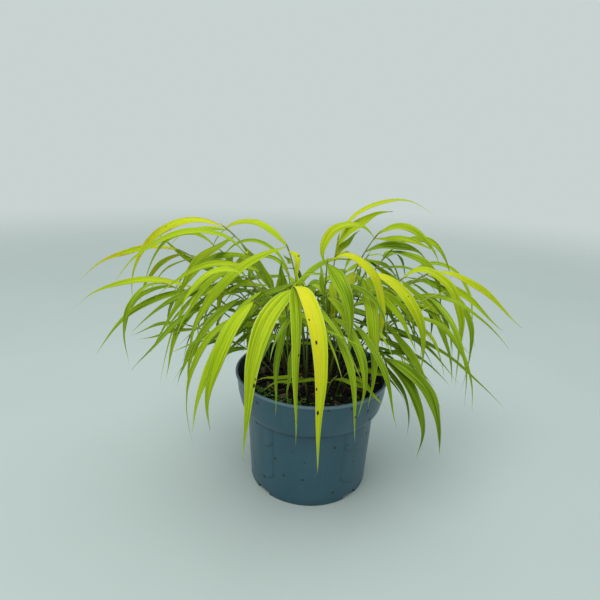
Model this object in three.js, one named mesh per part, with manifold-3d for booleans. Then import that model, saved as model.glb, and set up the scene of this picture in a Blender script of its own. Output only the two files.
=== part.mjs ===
// Japanese forest grass (Hakonechloa) in a round nursery pot.
// Millimetres, +Z up. The origin is the middle of the pot's base, on the surface it stands on.
// -Y is the front. The pot, the soil and every leafy stem are separate solids. A leafy stem is one
// wiry culm with its blades grown on it, and it stands in a plain hole in the soil.
import * as THREE from 'three';
import { mergeVertices } from 'three/addons/utils/BufferGeometryUtils.js';
import Module from 'manifold-3d';

const wasm = await Module();
wasm.setup();

// ---------------------------------------------------------------- driving dimensions
const RIM_RADIUS = 85;
const POT_HEIGHT = 131;
const COLLAR_FOOT = 88;          // height of the step under the collar
const BODY_RADIUS = 71.4;        // body, just under the step
const FOOT_RADIUS = 67;
const WALL = 1.6;
const LIP = 1;                   // how far the rolled rim stands out of the collar
const COLLAR_FLARE = 2.4;        // how much narrower the collar is at its bend than under the lip
const COLLAR_BEND = 21;          // height of that bend over the step
const STEP_OUT = 7.4;            // how far the body swells out into the collar
const STEP_HEIGHT = 8.5;         // height of that swelling
const BASE_THICKNESS = 3;
const BASE_RISE = 2.5;           // height of the recess in the underside
const PAD_RADIUS = 20;           // flat pad in the middle of the underside
const FOOT_RING_WIDTH = 11;
const DRAIN_HOLES = 6;
const DRAIN_RADIUS = 5;
const DRAIN_CIRCLE = 40;
const DRAIN_SIDES = 8;
const FOOT_NOTCHES = 4;
const NOTCH_WIDTH = 18;
const NOTCH_HEIGHT = 4.5;
const FOOT_ROUND = 1.5;
const POT_SIDES = 44;

const SOIL_LEVEL = 115;          // mean height of the soil's surface
const SOIL_SIDES = 32;
const SOIL_LUMPS = 3;            // how far its lumps rise and fall
const CLEARANCE = 0.4;           // between pieces that touch on the real thing
const SOIL_GAP = 0.6;            // between the soil and the pot's rounder wall
const SOIL_RINGS = 7;            // on its surface, from the wall to the middle

const CULM_RADIUS = 1.3;         // out to its corners
const CULM_TAPER = 0.8;          // its top's radius as a share of its foot's
const CULM_SIDES = 3;
const CULM_STEPS = 4;
const CULM_DEPTH = 26;           // buried length
const CULM_BEND_OUT = 0.25;      // a culm's bend: how far out it lies towards the top
const CULM_BEND_UP = 0.72;       // and how far up
const SPEAR = 9;                 // rolled young leaf that ends a culm
const BLADE_THICKNESS = 0.8;
const BLADE_STEPS = 5;
const STEP_SPACING = 1.3;        // over 1 the steps are closer near the root
const LINE_STEPS = 24;           // steps in which a blade's middle line is worked out
const SHORT_BLADE = 138;         // a blade shorter than this has a step less
const BLADE_ROOT = 0.45;         // half width where it leaves the culm
const WIDEST = 0.3;              // place of the greatest width along a blade
const SHOULDER = 0.5;            // under 1 a blade widens faster from where it joins
const BLADE_CUP = 0.16;          // height of a blade's edges over its middle, per half width
const TAPER_POWER = 1.15;        // how long a blade keeps its width before it tapers
const TWIST_LENGTH = 0.5;        // share of a blade over which it turns its face
const BLADE_GAP = 0.45;          // least gap between blades of two stems
const SLIVER = 0.03;             // slivers of this size where a blade joins its culm are closed
const CROWN_RADIUS = 46;         // the stems come up inside this circle

const POT_COLOR = 0x3f5f6c;
const SOIL_COLOR = 0x2c221b;
const LEAF_COLOR = 0xa9c93a;
const POT_ROUGHNESS = 0.42;
const SOIL_ROUGHNESS = 0.95;
const LEAF_ROUGHNESS = 0.5;

// ---------------------------------------------------------------- small helpers
const rad = THREE.MathUtils.degToRad;
const deg = THREE.MathUtils.radToDeg;
const lerp = THREE.MathUtils.lerp;

function seeded(seed) {
  let state = seed;
  const unit = () => {
    state = (state * 1664525 + 1013904223) % 4294967296;
    return state / 4294967296;
  };
  for (let i = 0; i < 5; i += 1) unit();
  return (low, high) => lerp(low, high, unit());
}

function toSolid(geometry) {
  geometry.deleteAttribute('normal');
  geometry.deleteAttribute('uv');
  const merged = mergeVertices(geometry, 1e-4);
  return new wasm.Manifold(new wasm.Mesh({
    numProp: 3,
    vertProperties: new Float32Array(merged.attributes.position.array),
    triVerts: new Uint32Array(merged.index.array),
  }));
}

function toMesh(name, solid, color, roughness) {
  const { vertProperties, triVerts } = solid.getMesh();
  const geometry = new THREE.BufferGeometry();
  geometry.setAttribute('position', new THREE.BufferAttribute(new Float32Array(vertProperties), 3));
  geometry.setIndex(new THREE.BufferAttribute(new Uint32Array(triVerts), 1));
  geometry.computeVertexNormals();
  const material = new THREE.MeshStandardMaterial({ color, roughness, metalness: 0, flatShading: true });
  const mesh = new THREE.Mesh(geometry, material);
  mesh.name = name;
  return mesh;
}

// A closed skin over rings of points, from a flat cap on the first ring to a single tip.
// The rings run counter-clockwise as seen from the tip.
function skin(rings, tip) {
  const size = rings[0].length;
  const points = [...rings.flat(), tip];
  const last = points.length - 1;
  const faces = [];
  for (let side = 1; side < size - 1; side += 1) faces.push(0, side + 1, side);
  for (let ring = 0; ring < rings.length; ring += 1) {
    for (let side = 0; side < size; side += 1) {
      const a = ring * size + side;
      const b = ring * size + (side + 1) % size;
      if (ring === rings.length - 1) {
        faces.push(a, b, last);
      } else if (side < size / 2) {
        faces.push(a, b, b + size, a, b + size, a + size);
      } else {
        faces.push(a, b, a + size, b, b + size, a + size);
      }
    }
  }
  const geometry = new THREE.BufferGeometry().setFromPoints(points);
  geometry.setIndex(faces);
  return geometry;
}

// ---------------------------------------------------------------- pot
function outerProfile() {
  return [
    [FOOT_RADIUS - FOOT_ROUND, 0],
    [FOOT_RADIUS, FOOT_ROUND],
    [BODY_RADIUS, COLLAR_FOOT],
    [BODY_RADIUS + 0.62 * STEP_OUT, COLLAR_FOOT + 0.4 * STEP_HEIGHT],
    [BODY_RADIUS + STEP_OUT, COLLAR_FOOT + STEP_HEIGHT],
    [RIM_RADIUS - LIP - COLLAR_FLARE, COLLAR_FOOT + COLLAR_BEND],
    [RIM_RADIUS - 1.4 * LIP, POT_HEIGHT - 3.5 * LIP],
    [RIM_RADIUS, POT_HEIGHT - 2.6 * LIP],
    [RIM_RADIUS, POT_HEIGHT - 0.6 * LIP],
    [RIM_RADIUS - 0.6 * LIP, POT_HEIGHT],
  ];
}

// The inner wall, from the rim down to the floor.
function innerProfile(gap) {
  const inset = WALL + gap;
  return [
    [RIM_RADIUS - LIP - inset, POT_HEIGHT],
    [RIM_RADIUS - LIP - COLLAR_FLARE - inset, COLLAR_FOOT + COLLAR_BEND],
    [BODY_RADIUS + STEP_OUT - inset, COLLAR_FOOT + 1.1 * STEP_HEIGHT],
    [BODY_RADIUS + 0.57 * STEP_OUT - inset, COLLAR_FOOT + 0.6 * STEP_HEIGHT],
    [BODY_RADIUS - inset, COLLAR_FOOT + 0.16 * STEP_HEIGHT],
    [FOOT_RADIUS - inset, BASE_RISE + BASE_THICKNESS + Math.min(gap, CLEARANCE)],
  ];
}

function pot() {
  const floor = BASE_RISE + BASE_THICKNESS;
  const ring = FOOT_RADIUS - FOOT_RING_WIDTH;
  const profile = [
    [0, 0], [PAD_RADIUS, 0], [PAD_RADIUS + BASE_RISE, BASE_RISE],
    [ring - BASE_RISE, BASE_RISE], [ring, 0],
    ...outerProfile(), ...innerProfile(0), [0, floor],
  ].map(([r, z]) => new THREE.Vector2(r, z));
  let solid = toSolid(new THREE.LatheGeometry(profile, POT_SIDES).rotateX(Math.PI / 2));
  const drill = new THREE.CylinderGeometry(DRAIN_RADIUS, DRAIN_RADIUS, 4 * floor, DRAIN_SIDES);
  drill.rotateX(Math.PI / 2);
  for (let i = 0; i < DRAIN_HOLES; i += 1) {
    const turn = 2 * Math.PI * (i + 0.5) / DRAIN_HOLES;
    const hole = drill.clone().translate(DRAIN_CIRCLE * Math.cos(turn), DRAIN_CIRCLE * Math.sin(turn), 0);
    solid = solid.subtract(toSolid(hole));
  }
  const notch = new THREE.BoxGeometry(2 * FOOT_RING_WIDTH, NOTCH_WIDTH, 2 * NOTCH_HEIGHT);
  notch.translate(FOOT_RADIUS, 0, 0);
  for (let i = 0; i < FOOT_NOTCHES; i += 1) {
    solid = solid.subtract(toSolid(notch.clone().rotateZ(2 * Math.PI * (i + 0.5) / FOOT_NOTCHES)));
  }
  return solid;
}

// ---------------------------------------------------------------- soil
// Lumpy height of the soil at a place: waves of three sizes.
function soilHeight(x, y) {
  const wide = Math.sin(x / 17 + 1.2) * Math.cos(y / 14 - 0.6);
  const middle = Math.sin(x / 6.1 - y / 8.3) * Math.sin(y / 5.2 + x / 11);
  const fine = Math.sin(x / 2.7 + 2 * Math.sin(y / 3.3));
  return SOIL_LEVEL + SOIL_LUMPS * (0.42 * wide + 0.4 * middle + 0.3 * fine);
}

function soil() {
  const wall = innerProfile(SOIL_GAP);
  const [upper, lower] = wall;
  const edgeLevel = SOIL_LEVEL - 1.2 * SOIL_LUMPS;
  const topRadius = lerp(upper[0], lower[0], (upper[1] - edgeLevel) / (upper[1] - lower[1]));
  const profile = [new THREE.Vector2(0, wall.at(-1)[1])];
  for (const [r, z] of wall.slice(1).reverse()) profile.push(new THREE.Vector2(r, z));
  for (let i = 0; i < SOIL_RINGS; i += 1) {
    profile.push(new THREE.Vector2(topRadius * Math.cos(i / SOIL_RINGS * Math.PI / 2), SOIL_LEVEL));
  }
  profile.push(new THREE.Vector2(0, SOIL_LEVEL));
  const geometry = new THREE.LatheGeometry(profile, SOIL_SIDES).rotateX(Math.PI / 2);
  const position = geometry.attributes.position;
  for (let i = 0; i < position.count; i += 1) {
    if (position.getZ(i) > SOIL_LEVEL - 0.01) {
      position.setZ(i, soilHeight(position.getX(i), position.getY(i)));
    }
  }
  return toSolid(geometry);
}

// ---------------------------------------------------------------- leafy stems
// The culm rises from the crown, steep at first, and arches over to its top.
function culmCurve(base, top) {
  const foot = new THREE.Vector3(base[0], base[1], SOIL_LEVEL);
  const head = new THREE.Vector3(...top);
  const bend = new THREE.Vector3(
    lerp(foot.x, head.x, CULM_BEND_OUT),
    lerp(foot.y, head.y, CULM_BEND_OUT),
    lerp(foot.z, head.z, CULM_BEND_UP),
  );
  return new THREE.QuadraticBezierCurve3(foot, bend, head);
}

// A point of the culm's own straight steps, which blades grow from.
function culmPoint(curve, at) {
  const first = Math.min(Math.floor(at * CULM_STEPS), CULM_STEPS - 1);
  const start = curve.getPoint(first / CULM_STEPS);
  return start.lerp(curve.getPoint((first + 1) / CULM_STEPS), at * CULM_STEPS - first);
}

// One corner of the culm looks outwards, so that its flat sides face the blades' two rows.
function culm(curve, radius, depth) {
  const down = curve.getTangent(0).multiplyScalar(-depth);
  const lean = curve.v2.clone().sub(curve.v0).setZ(0).normalize();
  const rings = [];
  for (let step = -1; step <= CULM_STEPS; step += 1) {
    const along = Math.max(step, 0) / CULM_STEPS;
    const centre = curve.getPoint(along);
    if (step < 0) centre.add(down);
    const tangent = curve.getTangent(along);
    const side = lean.clone().addScaledVector(tangent, -tangent.dot(lean)).normalize();
    const other = new THREE.Vector3().crossVectors(tangent, side);
    const ring = [];
    for (let i = 0; i < CULM_SIDES; i += 1) {
      const turn = 2 * Math.PI * i / CULM_SIDES;
      const reach = radius * lerp(1, CULM_TAPER, along);
      ring.push(centre.clone().addScaledVector(side, reach * Math.cos(turn))
        .addScaledVector(other, reach * Math.sin(turn)));
    }
    rings.push(ring);
  }
  const tip = curve.getPoint(1).addScaledVector(curve.getTangent(1), SPEAR);
  return toSolid(skin(rings, tip));
}

// The middle line of a blade: it leaves at the angle rise, arches over and ends at the angle fall.
// arch is how soon it bends, turn is how far it swings sideways, and all angles are in degrees.
function bladeLine(root, leaf) {
  const point = root.clone();
  const line = [{ point: point.clone(), along: 0 }];
  for (let i = 0; i < LINE_STEPS; i += 1) {
    const along = (i + 0.5) / LINE_STEPS;
    const slope = rad(leaf.rise + (leaf.fall - leaf.rise) * (1 - (1 - along) ** leaf.arch));
    const way = rad(leaf.way + leaf.turn * along);
    point.add(new THREE.Vector3(
      Math.cos(slope) * Math.cos(way), Math.cos(slope) * Math.sin(way), Math.sin(slope),
    ).multiplyScalar(leaf.length / LINE_STEPS));
    line.push({ point: point.clone(), along: (i + 1) / LINE_STEPS });
  }
  return line;
}

// Half width along a blade: narrow where it joins, widest before the middle, then a long taper.
function halfWidth(leaf, along) {
  const swell = Math.sin(Math.min(along / WIDEST, 1) * Math.PI / 2) ** SHOULDER;
  const taper = Math.max(along - WIDEST, 0) / (1 - WIDEST);
  return lerp(BLADE_ROOT, leaf.width / 2, swell) * (1 - taper ** TAPER_POWER);
}

function blade(root, leaf) {
  const line = bladeLine(root, leaf);
  const at = (along) => {
    const place = along * (line.length - 1);
    const first = Math.min(Math.floor(place), line.length - 2);
    return line[first].point.clone().lerp(line[first + 1].point, place - first);
  };
  const steps = leaf.length < SHORT_BLADE ? BLADE_STEPS - 1 : BLADE_STEPS;
  const rings = [];
  for (let step = 0; step < steps; step += 1) {
    const along = (step / steps) ** STEP_SPACING;
    const centre = at(along);
    const ahead = at(Math.min(along + 1 / LINE_STEPS, 1));
    const tangent = ahead.sub(at(Math.max(along - 1 / LINE_STEPS, 0))).normalize();
    const way = rad(leaf.way + leaf.turn * along);
    const flat = new THREE.Vector3(-Math.sin(way), Math.cos(way), 0);
    const up = new THREE.Vector3().crossVectors(tangent, flat).normalize();
    flat.crossVectors(up, tangent);
    const roll = rad(leaf.roll * Math.min(along / TWIST_LENGTH, 1));
    const side = flat.clone().multiplyScalar(Math.cos(roll)).addScaledVector(up, Math.sin(roll));
    const face = up.multiplyScalar(Math.cos(roll)).addScaledVector(flat, -Math.sin(roll));
    const half = halfWidth(leaf, along);
    const thick = BLADE_THICKNESS / 2;
    rings.push([
      centre.clone().addScaledVector(side, half).addScaledVector(face, BLADE_CUP * half),
      centre.clone().addScaledVector(face, thick),
      centre.clone().addScaledVector(side, -half).addScaledVector(face, BLADE_CUP * half),
      centre.clone().addScaledVector(face, -thick),
    ]);
  }
  return toSolid(skin(rings, line.at(-1).point));
}

// Everything that stands so far, with whose it is. A new piece stays clear of all that isn't its
// owner's. A blade is nobody's, so that no two blades cross, and it only meets its own culm.
const placed = [];

function place(solid, owner) {
  placed.push({ solid, owner, box: solid.boundingBox() });
}

function boxesApart(box, other) {
  return [0, 1, 2].some((axis) => (
    box.min[axis] > other.max[axis] + BLADE_GAP || other.min[axis] > box.max[axis] + BLADE_GAP));
}

function isClear(solid, owner) {
  const box = solid.boundingBox();
  return placed.every((other) => (
    other.owner === owner
    || boxesApart(box, other.box)
    || solid.minGap(other.solid, 2 * BLADE_GAP) >= BLADE_GAP));
}

// ---------------------------------------------------------------- the plant
// Each row of a stem's blades is: place on the culm, way, length, width, rise, fall, roll,
// and where they aren't the usual ones, arch and turn.
const LEAF_FIELDS = ['at', 'way', 'length', 'width', 'rise', 'fall', 'roll', 'arch', 'turn'];
const LEADING_STEMS = [
  // front, left of the middle: three broad blades that hang before the pot
  { base: [-6, -24], top: [-21, -62, 243], leaves: [
    [1.0, 297, 200, 15, 24, -90, 8, 2.7, -24],
    [0.93, 272, 166, 11, 24, -88, -30, 2.1, 12],
    [0.86, 244, 180, 18, 33, -74, -10, 2.8, 14]] },
  { base: [-8, -4], top: [-30, -18, 271], leaves: [
    [1.0, 200, 180, 14.5, -16, -102, -40, 0.8, -24],
    [0.95, 156, 152, 10, 55, -68, -40, 1.3, -22],
    [0.89, 297, 58, 7, 65, -98, 20, 2, -30],
    [0.64, 185, 36, 8, 80, 60, -60, 1]] },
  { base: [-22, -22], top: [-58, -58, 226], leaves: [
    [1.0, 235, 138, 16, -25, -98, -25, 1.1, -8],
    [0.92, 224, 140, 14, -18, -75, -30, 1.8],
    [0.84, 209, 180, 8, 4, -98, -45, 1.8, -30]] },
  { base: [-28, -4], top: [-76, -34, 222], leaves: [
    [1.0, 188, 180, 9.5, 30, -91, -60, 3, -20],
    [0.9, 212, 120, 9, 5, -80, -50]] },
  { base: [-20, 16], top: [-98, 14, 282], leaves: [
    [1.0, 182, 170, 12, 22, -98, -60, 1.1, -10],
    [0.95, 160, 110, 8, 12, -50, -40, 1, -20],
    [0.86, 205, 120, 10, 10, -75, -50]] },
  { base: [-30, 22], top: [-154, 34, 251], leaves: [
    [1.0, 174, 138, 9, 8, -38, -55, 1.3],
    [0.94, 190, 88, 8, 5, -75, -60, 1.6],
    [0.88, 160, 110, 7, 5, -60, -40],
    [0.8, 205, 100, 7, -5, -80, -60]] },
  { base: [-36, 4], top: [-128, -2, 218], leaves: [
    [1.0, 174, 170, 9, 14, -43, -50, 1, -12],
    [0.95, 195, 142, 9, 11, -56, -50, 1.3],
    [0.86, 212, 110, 8, -10, -80, -60]] },
  { base: [-36, -6], top: [-156, -10, 224], leaves: [
    [1.0, 199, 118, 7, 17, -93, -60, 2.5, -10],
    [0.92, 178, 105, 7, 20, -85, -60, 1.5]] },
  { base: [-34, -14], top: [-130, -24, 184], leaves: [
    [1.0, 186, 66, 5, 20, -36, -50, 1.5],
    [0.92, 176, 70, 5, -5, -20, -50],
    [0.84, 215, 70, 6, -10, -80, -50]] },
  { base: [-24, 28], top: [-98, 34, 222], leaves: [
    [1.0, 160, 116, 8, 6, 30, -70, 2],
    [0.9, 182, 125, 9, 5, -60, -50],
    [0.8, 150, 110, 12, 45, 0, -20]] },
  // front, right of the middle
  { base: [8, -20], top: [10, -40, 261], leaves: [
    [1.0, 340, 165, 11, 60, -94, 50, 3.6, 20],
    [0.9, 296, 104, 15.5, 40, -80, 10, 2.6],
    [0.94, 20, 100, 12, 118, -85, 50, 1],
    [0.86, 225, 50, 6, 30, -40, -20, 1],
    [0.56, 120, 50, 9, 84, 60, 10, 1]] },
  { base: [13, 4], top: [21, 8, 277], leaves: [
    [1.0, 15, 124, 6, 66, -40, 50, 1, -5],
    [0.9, 10, 76, 12, 64, -5, 50, 0.9, 10],
    [0.8, 20, 40, 9, 58, 40, 45, 1],
    [0.6, 275, 72, 8, 12, -92, 10, 2.5]] },
  { base: [26, -14], top: [48, -30, 251], leaves: [
    [1.0, 340, 138, 15.5, 2, -94, 45, 1.7, 8],
    [0.93, 328, 92, 10, -20, -65, 30, 1.4],
    [0.86, 300, 140, 12, 0, -85, 20]] },
  { base: [34, 6], top: [88, -2, 238], leaves: [
    [1.0, 352, 178, 14, 62, -88, 60, 3.5, 8],
    [0.92, 335, 130, 9, 0, -80, 50]] },
  { base: [30, 16], top: [122, 14, 243], leaves: [
    [1.0, 356, 122, 9, 12, -42, 60, 3],
    [0.95, 348, 105, 9, -10, -45, 55, 1.7],
    [0.88, 338, 160, 11, 12, -98, 50, 2, 22],
    [0.8, 10, 120, 9, 0, -80, 50]] },
  { base: [18, 24], top: [63, 25, 279], leaves: [
    [1.0, 5, 92, 11, 42, -72, 55, 1.4, -6],
    [0.95, 345, 70, 9, 15, -20, 45, 1.2],
    [0.8, 355, 88, 13, 40, -60, 50, 1, 20],
    [0.7, 40, 120, 10, 20, -60, 40]] },
  { base: [26, 20], top: [86, 30, 268], leaves: [
    [1.0, 12, 95, 10, 36, -78, 55, 1.4],
    [0.88, 335, 105, 9, 30, -80, 50, 1.5],
    [0.8, 60, 110, 10, 30, -60, 30, 1.5]] },
  { base: [34, -22], top: [70, -55, 172], leaves: [
    [1.0, 330, 120, 15.5, -1, -90, 30, 1.4],
    [0.94, 320, 118, 12, -4, -100, 30, 1.4],
    [0.86, 335, 98, 8, -22, -98, 15, 1.3]] },
  { base: [40, -6], top: [72, -36, 202], leaves: [
    [1.0, 330, 100, 9, -42, -55, 40, 1.2],
    [0.88, 318, 100, 8, 5, -80, 20]] },
  { base: [16, -32], top: [34, -64, 212], leaves: [
    [1.0, 320, 112, 8, -22, -82, 20, 1.5]] },
  { base: [7, -34], top: [17, -58, 213], leaves: [
    [1.0, 303, 114, 10, 0, -88, 10, 2],
    [0.92, 300, 125, 9, 5, -86, 0, 1.6],
    [0.6, 60, 70, 6, 40, -50, 0, 1.5]] },
  // small ones in the middle: the blades of one hang over the rim, those of the other stand up, all
  // but one that arches down
  { base: [-14, -36], top: [-26, -44, 203], leaves: [
    [1.0, 262, 112, 7, 20, -92, 0, 2.4],
    [0.5, 262, 66, 5, 20, -92, 0, 2]] },
  { base: [-14, 14], top: [-46, 24, 208], leaves: [
    [1.0, 172, 74, 16, 58, 52, -45, 1],
    [0.9, 203, 78, 9, 16, -94, -40, 1.8],
    [0.8, 110, 52, 16, 84, 84, -20, 1],
    [0.66, 150, 62, 10, 84, 70, -60, 1]] },
  // young ones just over the soil
  { base: [-4, -40], top: [-8, -46, 140], leaves: [
    [1.0, 185, 52, 5, 10, -12, -30, 1],
    [0.7, 200, 50, 5, 30, -30, -30, 1]] },
  { base: [27, -31], top: [40, -42, 150], leaves: [
    [1.0, 350, 45, 6, 10, -15, 30, 1],
    [0.8, 300, 60, 6, 10, -30, 30, 1]] },
  { base: [16, -42], top: [22, -47, 142], leaves: [
    [1.0, 335, 58, 6, 15, -38, 30, 1],
    [0.7, 190, 50, 5, 20, -20, -30, 1]] },
];

// Blades that hang in the middle of the crown, grown last in what room is left: the number of the
// stem, and its row as above.
const INNER_LEAVES = [
  { stem: 46, row: [0.92, 292, 72, 12, 20, -90, 0] },
  { stem: 37, row: [0.94, 266, 84, 13, 30, -90, 0] },
  { stem: 38, row: [0.94, 268, 110, 13, 15, -92, 0] },
  { stem: 38, row: [0.7, 255, 80, 11, 30, -90, 0] },
  { stem: 39, row: [0.94, 280, 100, 13, 15, -92, 0] },
  { stem: 39, row: [0.7, 265, 80, 11, 30, -90, 0] },
  { stem: 40, row: [0.82, 250, 76, 11, 30, -90, 0] },
  { stem: 41, row: [0.94, 272, 100, 13, 15, -92, 0] },
  { stem: 42, row: [0.82, 285, 96, 11, 20, -90, 0] },
  { stem: 43, row: [0.94, 242, 84, 12, 20, -90, 0] },
  { stem: 27, row: [0.82, 302, 100, 11, 20, -90, 0] },
  { stem: 47, row: [0.92, 330, 74, 10, 20, -88, 10] },
  { stem: 30, row: [0.62, 290, 85, 12, 20, -90, 0] },
  { stem: 44, row: [0.82, 190, 70, 11, 30, -88, -20] },
  { stem: 16, row: [0.6, 262, 90, 12, 20, -90, 0] },
];

// The other stems stand in fans round the crown: how many, the ways between which they lean, how
// far out and how high their tops are, how many blades each has and how large the blades are.
const STEM_FANS = [
  { count: 5, ways: [136, 214], reach: [72, 138], height: [205, 262], blades: 5, size: 0.95 },
  { count: 5, ways: [-34, 44], reach: [72, 132], height: [200, 262], blades: 6, size: 1.1 },
  { count: 6, ways: [48, 132], reach: [56, 100], height: [196, 240], blades: 6, size: 1 },
  { count: 6, ways: [120, 420], reach: [24, 44], height: [190, 225], blades: 6, size: 0.85 },
];

// Rows of blades drawn at random: the first one's place on the culm, the step down to the next,
// and how much smaller each is than the one above it.
const FAN_ROW = { first: 1, step: 0.12, shrink: 0.07 };
const LEADING_ROW = { first: 0.72, step: 0.14, shrink: 0.12, blades: 3, size: 0.85 };
const YOUNG_STEM = 160;          // a stem that isn't this high has no drawn blades

// Between what a drawn blade's sizes and angles lie.
const DRAWN = {
  swing: [14, 62],               // away from the stem's own way, to its two sides in turn
  length: [100, 165],
  width: [6, 11],
  rise: [5, 55],
  fall: [-92, -30],
  roll: [-22, 22],
  arch: [1.2, 2.8],
  turn: [-14, 14],
};
const TOP_SWING = [-0.3, 0.3];   // share of its swing that the blade on a culm's top has
const SIDE_ROLL = 45;            // roll that turns the face of a blade at the side to the front
const STEEPEST_FALL = -100;
const OWN_NUDGE = 20;            // most degrees that a stem's own blade gives way to what stands
const DRAWN_NUDGE = 50;          // and that a drawn blade does
const TRIES = 80;                // changes of a blade that are tried until it is clear
const SPREAD = 215;              // half the width of the oval that drawn blades stay in
const DEPTH = 155;               // half its depth, front to back
const LOWEST_TIP = 110;
const OPEN_FRONT = { y: -50, halfWidth: 80, top: 175 };  // no drawn blade hangs before the pot here
const CULM_REACH = 7;            // a drawn blade keeps this far from its own culm once it has left it
const CULM_SHARE = 0.2;          // share of a blade within which it leaves the culm
const CULM_POINTS = 14;          // points of the culm at which that is measured
const FAN_SLACK = [0.1, 0.9];    // where a stem stands in its share of its fan
const FOOT_SHARE = [0.25, 0.95]; // how far out its foot is, as a share of the crown's radius
const LEADING_SEED = 100;
const FAN_SEED = 500;
const FAN_SEED_STEP = 20;

function drawnLeaf(draw, at, stemWay, side, size) {
  const way = stemWay + side * draw(...DRAWN.swing);
  return {
    at,
    way,
    length: size * draw(...DRAWN.length),
    width: size * draw(...DRAWN.width),
    rise: draw(...DRAWN.rise),
    fall: draw(...DRAWN.fall),
    roll: SIDE_ROLL * Math.cos(rad(way)) + draw(...DRAWN.roll),
    arch: draw(...DRAWN.arch),
    turn: draw(...DRAWN.turn),
  };
}

// The front of the pot stays open to view, and the tuft keeps its oval outline.
function keepsShape(line) {
  return line.every(({ point }) => {
    const beforePot = point.y < OPEN_FRONT.y && Math.abs(point.x) < OPEN_FRONT.halfWidth
      && point.z < OPEN_FRONT.top;
    return !beforePot && Math.hypot(point.x / SPREAD, point.y / DEPTH) < 1 && point.z > LOWEST_TIP;
  });
}

function leavesCulm(line, curve) {
  const culmPoints = curve.getPoints(CULM_POINTS);
  return line.filter(({ along }) => along > CULM_SHARE).every(({ point }) => (
    culmPoints.every((spot) => spot.distanceTo(point) > CULM_REACH)));
}

function nudged(leaf, draw, amount) {
  return {
    ...leaf,
    way: leaf.way + draw(-1, 1) * amount,
    rise: leaf.rise + draw(-1, 1) * amount,
    fall: Math.max(leaf.fall + draw(-1, 1) * amount, STEEPEST_FALL),
    roll: leaf.roll + draw(-1, 1) * amount,
  };
}

// Grows a blade, or the gentlest change of it that is clear of all that stands. With no room for
// it, the stem goes without.
function growLeaf(stem, leaf, reach, isAllowed) {
  const root = culmPoint(stem.curve, leaf.at);
  for (let attempt = 0; attempt < TRIES; attempt += 1) {
    const trial = nudged(leaf, stem.draw, reach * attempt / TRIES);
    if (isAllowed(bladeLine(root, trial))) {
      const solid = blade(root, trial);
      if (isClear(solid, stem)) {
        stem.leaves.push(solid);
        place(solid, null);
        return;
      }
    }
  }
}

const stems = [];
const holes = [];

function plantStem(base, top, draw) {
  const curve = culmCurve(base, top);
  const solid = culm(curve, CULM_RADIUS, CULM_DEPTH);
  if (!isClear(solid, 'soil')) return null;
  const lean = curve.v2.clone().sub(curve.v0);
  const stem = { curve, solid, draw, leaves: [], way: deg(Math.atan2(lean.y, lean.x)) };
  holes.push(culm(curve, CULM_RADIUS + 2 * CLEARANCE, CULM_DEPTH + CLEARANCE));
  stems.push(stem);
  place(solid, stem);
  return stem;
}

// Tries places in a stem's share of its fan until its culm is clear.
function plantInFan(fan, index, draw) {
  let stem = null;
  while (!stem) {
    const way = rad(lerp(...fan.ways, (index + draw(...FAN_SLACK)) / fan.count));
    const reach = draw(...fan.reach);
    const foot = CROWN_RADIUS * draw(...FOOT_SHARE);
    const base = [foot * Math.cos(way), foot * Math.sin(way)];
    const top = [reach * Math.cos(way), reach * Math.sin(way), draw(...fan.height)];
    stem = plantStem(base, top, draw);
  }
  return stem;
}

// The blades stand in two rows, left and right of the culm in turn.
function growRow(stem, size, count, row) {
  for (let k = 0; k < count; k += 1) {
    const at = row.first - row.step * k;
    const side = at === 1 ? stem.draw(...TOP_SWING) : 1 - 2 * (k % 2);
    const leaf = drawnLeaf(stem.draw, at, stem.way, side, size * (1 - row.shrink * k));
    growLeaf(stem, leaf, DRAWN_NUDGE, (line) => keepsShape(line) && leavesCulm(line, stem.curve));
  }
}

function readRow(row) {
  const leaf = { arch: 2, turn: 0 };
  row.forEach((value, column) => { leaf[LEAF_FIELDS[column]] = value; });
  return leaf;
}

const potSolid = pot();
const soilBody = soil();
place(potSolid, 'pot');
place(soilBody, 'soil');

const leadingStems = LEADING_STEMS.map((plan, index) => (
  plantStem(plan.base, plan.top, seeded(LEADING_SEED + index))));
LEADING_STEMS.forEach((plan, index) => {
  for (const row of plan.leaves) growLeaf(leadingStems[index], readRow(row), OWN_NUDGE, () => true);
});

const fanStems = STEM_FANS.map((fan, fanIndex) => Array.from({ length: fan.count }, (_, index) => (
  plantInFan(fan, index, seeded(FAN_SEED + FAN_SEED_STEP * fanIndex + index)))));
STEM_FANS.forEach((fan, fanIndex) => {
  for (const stem of fanStems[fanIndex]) growRow(stem, fan.size, fan.blades, FAN_ROW);
});
for (const stem of leadingStems.filter(({ curve }) => curve.v2.z > YOUNG_STEM)) {
  growRow(stem, LEADING_ROW.size, LEADING_ROW.blades, LEADING_ROW);
}
for (const { stem, row } of INNER_LEAVES) {
  growLeaf(stems[stem - 1], readRow(row), DRAWN_NUDGE, keepsShape);
}

const soilSolid = soilBody.subtract(wasm.Manifold.union(holes));

const group = new THREE.Group();
group.add(toMesh('pot', potSolid, POT_COLOR, POT_ROUGHNESS));
group.add(toMesh('soil', soilSolid, SOIL_COLOR, SOIL_ROUGHNESS));
stems.forEach((stem, index) => {
  const solid = wasm.Manifold.union([stem.solid, ...stem.leaves]).simplify(SLIVER);
  const number = String(index + 1).padStart(2, '0');
  group.add(toMesh(`stem_${number}`, solid, LEAF_COLOR, LEAF_ROUGHNESS));
});

export default group;
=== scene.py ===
"""Japanese forest grass in a nursery pot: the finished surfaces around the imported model.

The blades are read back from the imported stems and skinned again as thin, smooth, veined leaves.
Shapes are worked out in millimetres in the model's frame, and make_piece() turns them to metres.
"""
import math
import random

import bmesh
import bpy
import numpy as np
from mathutils import Euler, Matrix, Vector, noise


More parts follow.
